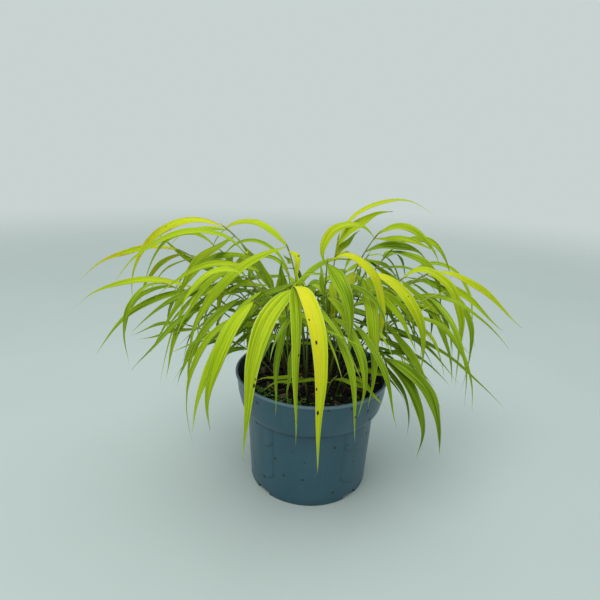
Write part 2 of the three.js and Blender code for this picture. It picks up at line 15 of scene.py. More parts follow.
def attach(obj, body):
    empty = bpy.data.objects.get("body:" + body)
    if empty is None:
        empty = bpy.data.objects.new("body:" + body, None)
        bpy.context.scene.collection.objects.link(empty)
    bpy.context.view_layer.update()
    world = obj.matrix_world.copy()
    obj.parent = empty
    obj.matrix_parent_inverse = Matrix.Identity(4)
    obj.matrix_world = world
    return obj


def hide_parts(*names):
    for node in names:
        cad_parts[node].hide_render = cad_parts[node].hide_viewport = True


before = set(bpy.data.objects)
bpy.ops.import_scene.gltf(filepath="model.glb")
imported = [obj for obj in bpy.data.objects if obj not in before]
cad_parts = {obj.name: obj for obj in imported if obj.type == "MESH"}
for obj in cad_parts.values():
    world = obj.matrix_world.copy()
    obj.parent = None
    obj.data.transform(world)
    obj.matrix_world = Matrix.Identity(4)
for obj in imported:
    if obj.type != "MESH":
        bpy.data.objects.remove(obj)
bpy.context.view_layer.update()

MM = 0.001

# ---- camera
# A phone held a little above the tuft, about half a metre in front of it.
CAMERA_PLACE = (0.0, -482.0, 367.5)
CAMERA_PITCH = -18.09  # degrees
CAMERA_YAW = 1.92
CAMERA_ROLL = 2.04
CAMERA_LENS = 28.44
SENSOR_WIDTH = 36.0

# ---- sizes, as in the model
RIM_RADIUS = 85.0
POT_HEIGHT = 131.0
COLLAR_FOOT = 88.0
BODY_RADIUS = 71.4
FOOT_RADIUS = 67.0
WALL = 1.6
LIP = 1.0
COLLAR_FLARE = 2.4
COLLAR_BEND = 21.0
STEP_OUT = 7.4
STEP_HEIGHT = 8.5
BASE_THICKNESS = 3.0
BASE_RISE = 2.5
PAD_RADIUS = 20.0
FOOT_RING_WIDTH = 11.0
DRAIN_HOLES = 6
DRAIN_RADIUS = 5.0
DRAIN_CIRCLE = 40.0
FOOT_NOTCHES = 4
NOTCH_WIDTH = 18.0
NOTCH_HEIGHT = 4.5
SOIL_LEVEL = 115.0
SOIL_LUMPS = 3.0
SOIL_GAP = 0.6
CLEARANCE = 0.4
CULM_RADIUS = 1.3
CULM_TAPER = 0.8
CULM_DEPTH = 26.0
CULM_BEND = np.array([0.25, 0.25, 0.72])
CULM_STEP = 0.25  # share of the culm between two of its rings
SPEAR = 9.0

# ---- fineness
POT_SIDES = 320
WALL_STEP = 1.0  # height of a row of faces on the pot's body, which carries relief
PLAIN_STEP = 3.0  # and on the rest of the pot
SOIL_SIDES = 200
SOIL_RINGS = 90
BLADE_ROWS = 40
BLADE_COLUMNS = 11
ROW_SPACING = 1.05  # over 1 a blade's rows are closer near its root
SPOT_STEPS = (-3, -2, -1, 0, 1, 2, 3)  # rows added round a spot, in sizes of the spot
CULM_ROWS = 26
CULM_SIDES = 8
CORNER_STEPS = 4
DRAIN_SIDES = 40
FIBRE_ROWS = 9
FIBRE_SIDES = 5
BALL_DETAIL = 2


# ---- meshes
def put(name, data):
    """A new object in the scene."""
    made = bpy.data.objects.new(name, data)
    bpy.context.scene.collection.objects.link(made)
    return made


def make_piece(name, points, faces, materials, attributes, face_materials=None, corners=None):
    """A mesh object from points in millimetres. It rides on the model's one body."""
    mesh = bpy.data.meshes.new(name)
    mesh.from_pydata((np.asarray(points, float) * MM).tolist(), [], faces)
    for key, values in attributes.items():
        layer = mesh.attributes.new(key, "FLOAT", "POINT")
        layer.data.foreach_set("value", np.asarray(values, np.float32))
    for material in materials:
        mesh.materials.append(material)
    if face_materials is not None:
        mesh.polygons.foreach_set("material_index", np.asarray(face_materials, np.int32))
    if corners is not None:
        layer = mesh.uv_layers.new(name="OFBake")
        layer.data.foreach_set("uv", np.asarray(corners, np.float32).ravel())
    mesh.polygons.foreach_set("use_smooth", [True] * len(mesh.polygons))
    mesh.validate()
    piece = put(name, mesh)
    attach(piece, "root")
    return piece


class Builder:
    """Gathers points, faces, attributes and bake coordinates of one piece's many small parts."""

    def __init__(self, keys):
        self.points, self.faces, self.kinds, self.corners = [], [], [], []
        self.values = {key: [] for key in keys}

    def add(self, points, faces, kind=0, corners=None, **values):
        start = len(self.points)
        self.points.extend(points)
        self.faces.extend([[start + i for i in face] for face in faces])
        self.kinds.extend([kind] * len(faces))
        self.corners.extend(corners if corners is not None else [])
        for key, gathered in self.values.items():
            given = values.get(key, 0.0)
            gathered.extend(given if np.ndim(given) else [given] * len(points))

    def make(self, name, materials):
        return make_piece(name, self.points, self.faces, materials, self.values,
                          self.kinds, self.corners or None)


def spline(knots, values, at):
    """A smooth curve through values at the knots, read at the places at."""
    knots, values, at = np.asarray(knots, float), np.asarray(values, float), np.asarray(at, float)
    flat = values.reshape(len(knots), -1)
    gap = np.diff(knots)[:, None]
    slope = np.diff(flat, axis=0) / gap
    middle = (slope[:-1] * gap[1:] + slope[1:] * gap[:-1]) / (gap[1:] + gap[:-1])
    if len(knots) > 2:
        start, end = 1.5 * slope[:1] - 0.5 * middle[:1], 1.5 * slope[-1:] - 0.5 * middle[-1:]
        tangent = np.vstack([start, middle, end])
    else:
        tangent = np.vstack([slope, slope])
    first = np.clip(np.searchsorted(knots, at, side="right") - 1, 0, len(knots) - 2)
    t = ((at - knots[first]) / gap[first, 0])[:, None]
    leaving = (1 + 2 * t) * flat[first] + t * gap[first] * tangent[first]
    arriving = (3 - 2 * t) * flat[first + 1] - (1 - t) * gap[first] * tangent[first + 1]
    result = (1 - t) ** 2 * leaving + t ** 2 * arriving
    return result.reshape(len(at), *values.shape[1:])


def unit(vectors):
    return vectors / np.maximum(np.linalg.norm(vectors, axis=-1, keepdims=True), 1e-9)


def loop_faces(rows, sides):
    """Quads of a skin over rows of closed loops, then a cap on the first one and a fan to the tip."""
    faces = []
    for row in range(rows - 1):
        for side in range(sides):
            a, b = row * sides + side, row * sides + (side + 1) % sides
            faces.append([a, b, b + sides, a + sides])
    faces.append(list(range(sides))[::-1])
    last = (rows - 1) * sides
    faces.extend([last + side, last + (side + 1) % sides, rows * sides] for side in range(sides))
    return faces


def turned_faces(rows, sides):
    """Faces of a turned shape: a point in the middle, rows of rings, and another point."""
    faces = []
    last = 1 + (rows - 1) * sides
    for side in range(sides):
        following = (side + 1) % sides
        faces.append((0, 1 + following, 1 + side))
        for ring in range(1, last, sides):
            a, b = ring + side, ring + following
            faces.append((a, b, b + sides, a + sides))
        faces.append((last + side, last + following, last + sides))
    return faces


def turns(sides):
    """The angles of a ring's points."""
    return np.linspace(0, 2 * math.pi, sides, endpoint=False)


def tube(centre, radius, first, second, sides):
    """Rings of points round a line, which turn from the first way across it to the second."""
    turn = turns(sides)[:, None]
    ring = np.cos(turn) * first[:, None] + np.sin(turn) * second[:, None]
    return (centre[:, None] + radius[:, None, None] * ring).reshape(-1, 3)


STEP_ASIDE = 0.01  # either side of a place, to find which way a line runs there


def direction(line, t):
    """Which way a line, given as a function of the place along it, runs at the places t."""
    return unit(line(np.minimum(t + STEP_ASIDE, 1)) - line(np.maximum(t - STEP_ASIDE, 0)))


BAKE_MARGIN = 0.02  # under and over the skins, as a share of the baked square


def loop_corners(rows, sides, low, high):
    """Bake coordinates for loop_faces: a loop runs across from low to high, and the rows run up."""
    across = [low + (high - low) * side / sides for side in range(sides + 1)]
    up = [BAKE_MARGIN + (1 - 2 * BAKE_MARGIN) * row / rows for row in range(rows + 1)]
    corners = []
    for v, w in zip(up[:-2], up[1:]):
        for a, b in zip(across, across[1:]):
            corners.extend([(a, v), (b, v), (b, w), (a, w)])
    corners.extend((a, BAKE_MARGIN / 2) for a in across[-2::-1])
    for a, b in zip(across, across[1:]):
        corners.extend([(a, up[-2]), (b, up[-2]), ((a + b) / 2, up[-1])])
    return corners


# ---- materials
class Shader:
    """A node material under construction."""

    def __init__(self, name):
        self.material = bpy.data.materials.new(name)
        self.material.use_nodes = True
        self.tree = self.material.node_tree
        self.tree.nodes.clear()

    def node(self, kind, inputs=None, output=0, **settings):
        """One output of a new node."""
        made = self.tree.nodes.new("ShaderNode" + kind)
        for key, value in settings.items():
            setattr(made, key, value)
        for key, value in (inputs or {}).items():
            socket = made.inputs[key]
            if isinstance(value, bpy.types.NodeSocket):
                self.tree.links.new(value, socket)
            else:
                socket.default_value = value
        return made.outputs[output]

    def value(self, name):
        return self.node("Attribute", output="Fac", attribute_name=name)

    def math(self, operation, a, b=0.0, clamp=False):
        return self.node("Math", {0: a, 1: b}, operation=operation, use_clamp=clamp)

    def times(self, a, b):
        return self.math("MULTIPLY", a, b)

    def swing(self, value, amount):
        """A value from 0 to 1 as a change of up to half the amount, up or down."""
        return self.times(self.math("SUBTRACT", value, 0.5), amount)

    def ramp(self, value, stops):
        """stops are (place, colour) pairs."""
        colour = self.node("ValToRGB", {"Fac": value})
        elements = colour.node.color_ramp.elements
        while len(elements) < len(stops):
            elements.new(1.0)
        for element, (place, tone) in zip(elements, stops):
            element.position = place
            element.color = (*tone, 1.0)
        return colour

    def window(self, value, low, high, out_low=0.0, out_high=1.0):
        """Runs smoothly from out_low to out_high while the value goes from low to high."""
        inputs = dict(zip(("Value", "From Min", "From Max", "To Min", "To Max"),
                          (value, low, high, out_low, out_high)))
        return self.node("MapRange", inputs, interpolation_type="SMOOTHSTEP")

    def mix(self, share, colour, other):
        """The share of a plain other colour over the colour so far."""
        return self.node("Mix", {0: share, 6: colour, 7: (*other, 1.0)}, 2, data_type="RGBA")

    def noise(self, vector, scale, detail=3.0, roughness=0.5):
        inputs = {"Vector": vector, "Scale": scale, "Detail": detail, "Roughness": roughness}
        return self.node("TexNoise", inputs, "Fac")

    def place(self):
        return self.node("TexCoord", output="Object")

    def grain(self, *counts):
        """A blade's own place for noise, which changes that often across it, along it and by blade."""
        names = ("across", "along", "seed")
        axes = [self.times(self.value(name), count) for name, count in zip(names, counts)]
        return self.node("CombineXYZ", dict(enumerate(axes)))

    def bump(self, height, strength, distance):
        return self.node("Bump", {"Height": height, "Strength": strength, "Distance": distance})

    def surface(self, colour, roughness, shine, **more):
        inputs = {"Base Color": colour, "Roughness": roughness, "Specular IOR Level": shine, **more}
        return self.node("BsdfPrincipled", inputs)

    def finish(self, shader):
        output = self.tree.nodes.new("ShaderNodeOutputMaterial")
        self.tree.links.new(shader, output.inputs["Surface"])
        return self.material


# Leaf colours from the deep green of the inner blades, partly painted shade, to the full yellow of the
# outer ones.
LEAF_TONES = [
    (0.0, (0.065, 0.145, 0.001)),
    (0.3, (0.220, 0.390, 0.002)),
    (0.55, (0.500, 0.690, 0.003)),
    (0.78, (0.750, 0.820, 0.008)),
    (1.0, (0.930, 0.840, 0.020)),
]
PALE_MARGIN = (0.82, 0.90, 0.22)
PALE_TIP = (0.58, 0.74, 0.22)
OCHRE = (0.66, 0.50, 0.012)
RUST = (0.33, 0.13, 0.02)
SPOT_BROWN = (0.055, 0.022, 0.008)
STRAW = (0.46, 0.35, 0.16)
LEAF_SHINE = 0.13
UNDERSIDE_SHADE = 0.16  # painted shade: how much darker and greener a blade is painted on its lower side
TRANSLUCENCY = 0.45


def leaf_material():
    s = Shader("grass_leaf")
    across, along, seed, age = (s.value(key) for key in ("across", "along", "seed", "speck"))
    from_middle = s.math("ABSOLUTE", across)
    # stripes along the veins, some wide and some fine, each blade with its own
    wide = s.noise(s.grain(2.6, 1.6, 37.0), 1.6, 2.0)
    fine = s.noise(s.grain(13.0, 1.1, 91.0), 1.3, 1.0)
    stripes = s.math("ADD", s.swing(wide, 0.6), s.swing(fine, 0.5))
    tone = s.math("ADD", s.value("tone"), stripes)
    # painted shade: each blade's lower side is painted darker and greener
    tone = s.math("SUBTRACT", tone, s.times(s.value("under"), UNDERSIDE_SHADE), clamp=True)
    colour = s.ramp(tone, LEAF_TONES)
    # pale margins, midrib and veins
    margin = s.window(from_middle, 0.82, 0.96, 0.0, 0.8)
    midrib = s.window(from_middle, 0.02, 0.08, 0.25, 0.0)
    veins = s.window(s.math("SINE", s.times(across, 19.0)), 0.4, 1.0, 0.0, 0.30)
    veins = s.times(veins, s.window(wide, 0.35, 0.6))
    pale = s.math("MAXIMUM", s.math("MAXIMUM", margin, midrib), veins)
    colour = s.mix(pale, colour, PALE_MARGIN)
    # the old blades turn ochre in long patches
    patches = s.window(s.noise(s.grain(1.0, 4.0, 29.0), 1.2, 2.0), 0.38, 0.62)
    colour = s.mix(s.times(s.times(patches, age), 0.6), colour, OCHRE)
    # the blades thin out to pale tips
    colour = s.mix(s.window(along, 0.80, 1.0, 0.0, 0.6), colour, PALE_TIP)
    # rusty flecks on the old blades, a dry end on some, and spots
    flecks = s.window(s.noise(s.grain(3.2, 22.0, 53.0), 1.5, 4.0, 0.65), 0.56, 0.72)
    colour = s.mix(s.times(flecks, age), colour, RUST)
    is_dry = s.window(s.math("FRACT", s.times(seed, 7.31)), 0.45, 0.6)
    colour = s.mix(s.times(s.window(along, 0.93, 1.0), is_dry), colour, STRAW)
    colour = s.mix(s.window(s.value("spot"), 0.35, 0.75), colour, SPOT_BROWN)
    # fine ribs
    ribs = s.math("SINE", s.times(across, 44.0))
    normal = s.bump(s.math("ADD", s.times(ribs, 0.5), fine), 0.35, 0.00015)
    front = s.surface(colour, s.window(fine, 0.2, 0.8, 0.42, 0.62), LEAF_SHINE, Normal=normal)
    back = s.node("BsdfTranslucent", {"Color": colour, "Normal": normal})
    return s.finish(s.node("MixShader", {"Fac": TRANSLUCENCY, 1: front, 2: back}))


# From the foot of a culm to its top, darker low down: partly the culm's own brown foot, partly painted
# shade under the blades.
CULM_TONES = [
    (0.0, (0.06, 0.045, 0.014)),
    (0.25, (0.08, 0.10, 0.014)),
    (0.6, (0.16, 0.22, 0.016)),
    (1.0, (0.34, 0.42, 0.03)),
]
JOINT_BROWN = (0.16, 0.08, 0.02)


def culm_material():
    s = Shader("grass_culm")
    mottle = s.noise(s.grain(1.0, 8.0, 19.0), 2.2, 3.0)
    # darker towards the foot, partly as painted shade under the blades
    height = s.math("ADD", s.value("along"), s.swing(mottle, 0.5), clamp=True)
    at_joint = s.window(s.value("spot"), 0.3, 0.9, 0.0, 0.5)
    colour = s.mix(at_joint, s.ramp(height, CULM_TONES), JOINT_BROWN)
    return s.finish(s.surface(colour, 0.45, 0.5, Normal=s.bump(mottle, 0.3, 0.0002)))


POT_TONES = [(0.25, (0.024, 0.080, 0.112)), (0.75, (0.034, 0.098, 0.136))]
SCUFF = (0.10, 0.17, 0.19)
CREASE = (0.008, 0.022, 0.030)
DIRT_AND_SHADE = (0.020, 0.018, 0.014)
# painted highlight: a pale line round the outer edge of the rim's lip
RIM_HIGHLIGHT = (0.17, 0.27, 0.30)


def pot_material():
    s = Shader("pot_plastic")
    place = s.place()
    cloud = s.noise(place, 28.0, 4.0, 0.6)
    # scuffs drawn up the wall, and shadow in its creases
    upright = s.node("Mapping", {"Vector": place, "Scale": (1.0, 1.0, 0.06)})
    scuffs = s.noise(upright, 150.0, 2.0)
    colour = s.mix(s.window(scuffs, 0.52, 0.75, 0.0, 0.12), s.ramp(cloud, POT_TONES), SCUFF)
    colour = s.mix(s.times(s.value("shade"), 0.75), colour, CREASE)
    # splashes of potting mix: sparse dark specks and a grimy film at the foot; inside the rim, painted
    # shade mixed with grime, darker downwards
    distance = s.node("TexVoronoi", {"Vector": place, "Scale": 95.0, "Randomness": 1.0}, "Distance")
    pick = s.node("SeparateColor", {"Color": distance.node.outputs["Color"]})
    specks = s.times(s.window(distance, 0.13, 0.20, 0.85, 0.0), s.window(pick, 0.52, 0.54))
    patchiness = s.window(s.noise(place, 60.0, 5.0, 0.7), 0.35, 0.65)
    dirt_and_shade = s.math("MAXIMUM", specks, s.times(s.value("grime_and_shade"), patchiness))
    colour = s.mix(dirt_and_shade, colour, DIRT_AND_SHADE)
    # painted highlight along the outer edge of the rim's lip
    colour = s.mix(s.value("edge"), colour, RIM_HIGHLIGHT)
    roughness = s.math("ADD", s.window(cloud, 0.3, 0.7, 0.28, 0.38), s.times(dirt_and_shade, 0.4))
    grain = s.math("ADD", s.noise(place, 900.0, 2.0), s.times(scuffs, 0.7))
    return s.finish(s.surface(colour, roughness, 0.45, Normal=s.bump(grain, 0.18, 0.0002)))


PEAT_TONES = [
    (0.0, (0.003, 0.0025, 0.002)),
    (0.4, (0.008, 0.006, 0.005)),
    (0.7, (0.028, 0.016, 0.011)),
    (1.0, (0.15, 0.10, 0.065)),
]
FIBRE_TONES = [(0.0, (0.02, 0.012, 0.007)), (0.5, (0.10, 0.06, 0.03)), (1.0, (0.38, 0.29, 0.16))]
MOSS_TONES = [(0.0, (0.014, 0.045, 0.006)), (0.5, (0.055, 0.150, 0.014)), (1.0, (0.140, 0.31, 0.030))]


def earth_material(name, tones, scale, bump_depth, roughness=0.9):
    """Dull organic stuff, coloured by each bit's own tone and by noise."""
    s = Shader(name)
    place = s.place()
    mottle = s.noise(place, scale, 5.0, 0.65)
    tone = s.math("ADD", s.value("tone"), s.swing(mottle, 0.8), clamp=True)
    normal = s.bump(s.noise(place, scale * 3.0, 4.0, 0.7), 0.6, bump_depth)
    return s.finish(s.surface(s.ramp(tone, tones), roughness, 0.25, Normal=normal))


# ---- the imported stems, read back
WELD = 0.001  # points nearer than this, in millimetres, are one
NARROW_TIP = 0.8  # least cosine between a tip's edges and their mean direction
SPEAR_EDGE = 1.2 * SPEAR  # the young leaf's edges are shorter than this
FIT_ROUNDS = 30
AXIS_STEPS = 160  # in which a culm is searched for the place nearest to a blade


def welded(node):
    """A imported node's points in millimetres, each once, and the set of neighbours of each."""
    mesh = node.data
    raw = np.empty(len(mesh.vertices) * 3)
    mesh.vertices.foreach_get("co", raw)
    raw = raw.reshape(-1, 3) / MM
    _, first, back = np.unique(np.round(raw / WELD), axis=0, return_index=True, return_inverse=True)
    back = back.ravel()
    points = raw[first]
    near = [set() for _ in points]
    for edge in mesh.edges:
        a, b = back[edge.vertices[0]], back[edge.vertices[1]]
        if a != b:
            near[a].add(b)
            near[b].add(a)
    return points, near


def pointed_tips(points, near):
    """The tip of the young leaf on the culm's top, and the tips of the blades, which are much longer.

    Where the top blade hides the young leaf, there is no tip of it.
    """
    spears, tips = [], []
    for index, others in enumerate(near):
        ways = points[list(others)] - points[index]
        if (unit(ways) @ unit(unit(ways).mean(0))).min() > NARROW_TIP:
            if np.linalg.norm(ways, axis=1).min() < SPEAR_EDGE:
                spears.append(index)
            elif len(others) == 4:
                tips.append(index)
    spears.sort(key=lambda index: points[index][2])
    return (points[spears[-1]] if spears else None), tips


def rings_from(points, near, tip):
    """The rings of three or four points that a blade's skin has, from its tip to its root."""
    seen, ring = {tip}, sorted(near[tip])
    while 3 <= len(ring) <= 4:
        yield ring
        seen.update(ring)
        ring = sorted(set().union(*(near[i] for i in ring)) - seen)


def culm_curve(points, near, tip):
    """The culm's Bezier points, from its buried end and its young leaf's tip, or else its rings."""
    inside = np.hypot(points[:, 0], points[:, 1]) < BODY_RADIUS
    below = np.flatnonzero(inside & (points[:, 2] < SOIL_LEVEL - SOIL_LUMPS))
    ring = set(below[np.argsort(points[below, 2])[:3]].tolist())
    foot = points[list(ring)].mean(0)
    if tip is None:
        level = set().union(*(near[i] for i in ring)) - ring
        following = set().union(*(near[i] for i in level)) - level - ring
        base, centre = points[list(level)].mean(0), points[list(following)].mean(0)
        top = base + (centre - base) / (2 * CULM_STEP * (1 - CULM_STEP) * CULM_BEND + CULM_STEP ** 2)
    else:
        base, top = foot + [0, 0, CULM_DEPTH], tip
        for _ in range(FIT_ROUNDS):
            lean = top - base
            base = foot + CULM_DEPTH * unit(lean * CULM_BEND)
            top = tip - SPEAR * unit(lean * (1 - CULM_BEND))
    return base, base + (top - base) * CULM_BEND, top


def on_culm(curve, at):
    base, bend, top = curve
    at = np.asarray(at, float)[..., None]
    return (1 - at) ** 2 * base + 2 * at * (1 - at) * bend + at ** 2 * top


def edge_pair(ring):
    """The two points of a ring that lie furthest apart: the blade's two edges."""
    gaps = np.linalg.norm(ring[:, None] - ring[None], axis=2)
    return np.unravel_index(gaps.argmax(), gaps.shape)


class Blade:
    """A blade's middle line, half widths, side and face directions, from its root to its tip."""

    def __init__(self, at, centres, halves, sides, faces):
        self.at, self.centres, self.halves = at, np.array(centres), np.array(halves)
        self.sides, self.faces = np.array(sides), np.array(faces)
        steps = np.linalg.norm(np.diff(self.centres, axis=0), axis=1)
        self.length = steps.sum()
        self.knots = np.concatenate([[0], np.cumsum(steps)]) / self.length
        self.tip = self.centres[-1]

    def read(self, values, t):
        """Values that belong to the rings, read at the places t from 0 at the root to 1 at the tip."""
        return spline(self.knots, values, t)


ROOT_HALF = 0.45  # half width where a blade leaves its culm
ROOT_STEP = 0.7  # from its root to its first ring, per step to the second one
CULM_REACH = 2.6  # a ring this near the culm's axis belongs to the joint


def read_blade(points, near, tip, curve):
    """Walks the rings of four from a tip to the culm."""
    fine = np.linspace(0, 1, AXIS_STEPS + 1)
    axis = on_culm(curve, fine)
    centres, halves, sides, faces, previous = [points[tip]], [0.0], [], [], None
    for ring in rings_from(points, near, tip):
        corners = points[ring]
        if np.linalg.norm(axis - corners.mean(0), axis=1).min() < CULM_REACH:
            break
        a, b = edge_pair(corners)
        middle = np.delete(corners, [a, b], axis=0).mean(0)
        side = (corners[a] - corners[b]) / 2
        if previous is not None and side @ previous < 0:
            side = -side
        previous = side
        lift = (corners[a] + corners[b]) / 2 - middle
        centres.append(middle)
        halves.append(np.linalg.norm(side))
        sides.append(unit(side))
        faces.append(unit(lift))
    start = centres[-1]
    if len(centres) > 2:
        start = start + ROOT_STEP * (centres[-1] - centres[-2])
    gaps = np.linalg.norm(axis - start, axis=1)
    at = fine[gaps.argmin()]
    centres.append(axis[gaps.argmin()])
    halves.append(ROOT_HALF)
    sign = 1 if np.mean(sides, axis=0)[0] > 0 else -1
    sides = [sign * side for side in [sides[0], *sides, sides[-1]]]
    faces = [faces[0], *faces, faces[-1]]
    return Blade(at, centres[::-1], halves[::-1], sides[::-1], faces[::-1])


# ---- leaves
SLIM_FROM = 0.55  # place from which a blade is slimmer than in the model
SLIMMING = 0.35  # and by what share at its tip
LEAST_HALF = 0.15
SWAY = 0.8
SWAYS = 1.7
CUP_CURVE = 1.25  # at 1 a blade is folded at its midrib, and over 1 rounded
THICKNESS = 0.32
THINNING = 0.8  # share by which it is thinner at its edges
RIB_HEIGHT = 0.05
RIBS = 5
KEEL_HEIGHT = 0.22  # of the midrib, below
KEEL_HALF = 0.12  # share of the blade's half width
SPOT_STRETCH = 1.9  # spots are longer than wide
SPOT_RANGE = (0.01, 0.985)  # where rows may be added for spots


def blade_grid(blade, spots):
    """The places of a blade's rows and its number of columns. Spots take more of both."""
    t = np.linspace(0, 1, BLADE_ROWS + 1)[:-1] ** ROW_SPACING
    if not spots:
        return t, BLADE_COLUMNS
    near = [place + step * size / blade.length for place, _, size in spots for step in SPOT_STEPS]
    t = np.unique(np.concatenate([t, np.clip(near, *SPOT_RANGE)]))
    return t, 2 * BLADE_COLUMNS - 1


def blade_axes(blade, twist, t):
    """A blade's middle line at the places t, and its ways along, sideways and up from its face."""
    tangent = direction(lambda at: blade.read(blade.centres, at), t)
    side = blade.read(blade.sides, t)
    side = unit(side - tangent * (side * tangent).sum(1, keepdims=True))
    face = np.cross(tangent, side)
    face *= np.sign((face * blade.read(blade.faces, t)).sum(1).mean())
    turn = (np.radians(twist) * t ** 2)[:, None]
    return (blade.read(blade.centres, t), tangent, side * np.cos(turn) + face * np.sin(turn),
            face * np.cos(turn) - side * np.sin(turn))


def skin_blade(builder, blade, look, draw, strip):
    """A thin closed leaf along a blade: folded on its midrib, ribbed, with softly waved margins."""
    t, columns = blade_grid(blade, look["spots"])
    rows = len(t)
    centre, tangent, side, face = blade_axes(blade, look["twist"], t)
    slim = np.clip((t - SLIM_FROM) / (1 - SLIM_FROM), 0, 1)
    half = blade.read(blade.halves, t) * (1 - SLIMMING * np.sin(slim * math.pi / 2))
    half = np.maximum(half, LEAST_HALF)[:, None]

    def ripple(count):
        return np.sin(2 * math.pi * (count * t + draw.random()))[:, None]

    left_wave, right_wave = (look["wave"] * half * ripple(look["waves"]) for _ in range(2))
    sway = SWAY * ripple(SWAYS) * np.minimum(6 * t, 1)[:, None]
    centre = centre + side * (sway + look["curl"] * slim[:, None] ** 2)
    tip = blade.tip + side[-1] * look["curl"]

    # the leaf's own section, u across it, in heights over its middle line
    u = np.linspace(-1, 1, columns)
    height = look["cup"] * half * np.abs(u) ** CUP_CURVE
    height = height + RIB_HEIGHT * np.cos(RIBS * math.pi * u) * np.minimum(half / 3, 1)
    height = height + np.where(u < 0, left_wave, right_wave) * np.abs(u) ** 3
    thick = THICKNESS * (1 - THINNING * u ** 2) * np.minimum(half / 1.5, 1)
    keel = KEEL_HEIGHT * np.exp(-(u / KEEL_HALF) ** 2) * np.minimum(half / 2.5, 1)
    flat = centre[:, None] + (half * u)[..., None] * side[:, None]
    upper = flat + (height + thick / 2)[..., None] * face[:, None]
    lower = flat + (height - thick / 2 - keel)[..., None] * face[:, None]
    edge = (upper[:, [0, -1]] + lower[:, [0, -1]]) / 2
    loop = np.concatenate([edge[:, :1], upper[:, 1:-1], edge[:, 1:], lower[:, -2:0:-1]], axis=1)

    # its faces look outwards whichever way round the section runs
    sides = loop.shape[1]
    order = np.arange(sides)
    if (np.cross(side, tangent) * face).sum() > 0:
        order = -order
    inner = columns - 2
    # 1 on the lower side, which gets painted shade, 0 on the upper side, half at the edges
    under = np.concatenate([[0.5], np.zeros(inner), [0.5], np.ones(inner)])[order]
    across = np.tile(np.concatenate([u, u[-2:0:-1]])[order], rows)
    along = np.repeat(t, sides)
    tone = look["root_tone"] + (look["tip_tone"] - look["root_tone"]) * along
    spot = np.zeros(len(along))
    for place, off, size in look["spots"]:
        reach = ((along - place) * blade.length / (SPOT_STRETCH * size)) ** 2
        reach += ((across - off) * np.repeat(half, sides) / size) ** 2
        spot = np.maximum(spot, np.exp(-reach))
    builder.add([*loop[:, order].reshape(-1, 3), tip], loop_faces(rows, sides), 0,
                loop_corners(rows, sides, *strip), across=[*across, 0.0], along=[*along, 1.0],
                under=[*np.tile(under, rows), 0.5], spot=[*spot, 0.0],
                tone=[*(tone + look["lean"] * across), look["tip_tone"]],
                seed=look["seed"], speck=look["speck"])


CULM_FOOT = 14.0  # how far it goes on down into the soil
SLIM_CULM = 0.64  # its radius, as a share of the model's
JOINT_REACH = 0.018  # share of the culm
JOINT_SWELL = 0.3


def skin_culm(builder, curve, joints, seed, strip):
    """The wiry culm from under the soil to the rolled young leaf, swollen at its joints."""
    t = np.linspace(0, 1, CULM_ROWS)
    centre, tangent = on_culm(curve, t), direction(lambda at: on_culm(curve, at), t)
    centre = np.vstack([centre[:1] - CULM_FOOT * tangent[:1], centre])
    tangent = np.vstack([tangent[:1], tangent])
    t = np.concatenate([[0], t])
    lean = unit((curve[2] - curve[0]) * [1, 1, 0])
    side = unit(lean - tangent * (tangent @ lean)[:, None])
    knot = np.zeros(len(t))
    for place in joints:
        knot = np.maximum(knot, np.exp(-((t - place) / JOINT_REACH) ** 2))
    radius = SLIM_CULM * CULM_RADIUS * (1 + (CULM_TAPER - 1) * t) * (1 + JOINT_SWELL * knot)
    points = tube(centre, radius, side, np.cross(tangent, side), CULM_SIDES)
    tip = curve[2] + SPEAR * tangent[-1]
    rows, across = len(t), np.sin(turns(CULM_SIDES))
    builder.add([*points, tip], loop_faces(rows, CULM_SIDES), 1,
                loop_corners(rows, CULM_SIDES, *strip), seed=seed,
                across=[*np.tile(across, rows), 0.0], along=[*np.repeat(t, CULM_SIDES), 1.0],
                spot=[*np.repeat(knot, CULM_SIDES), 0.0])


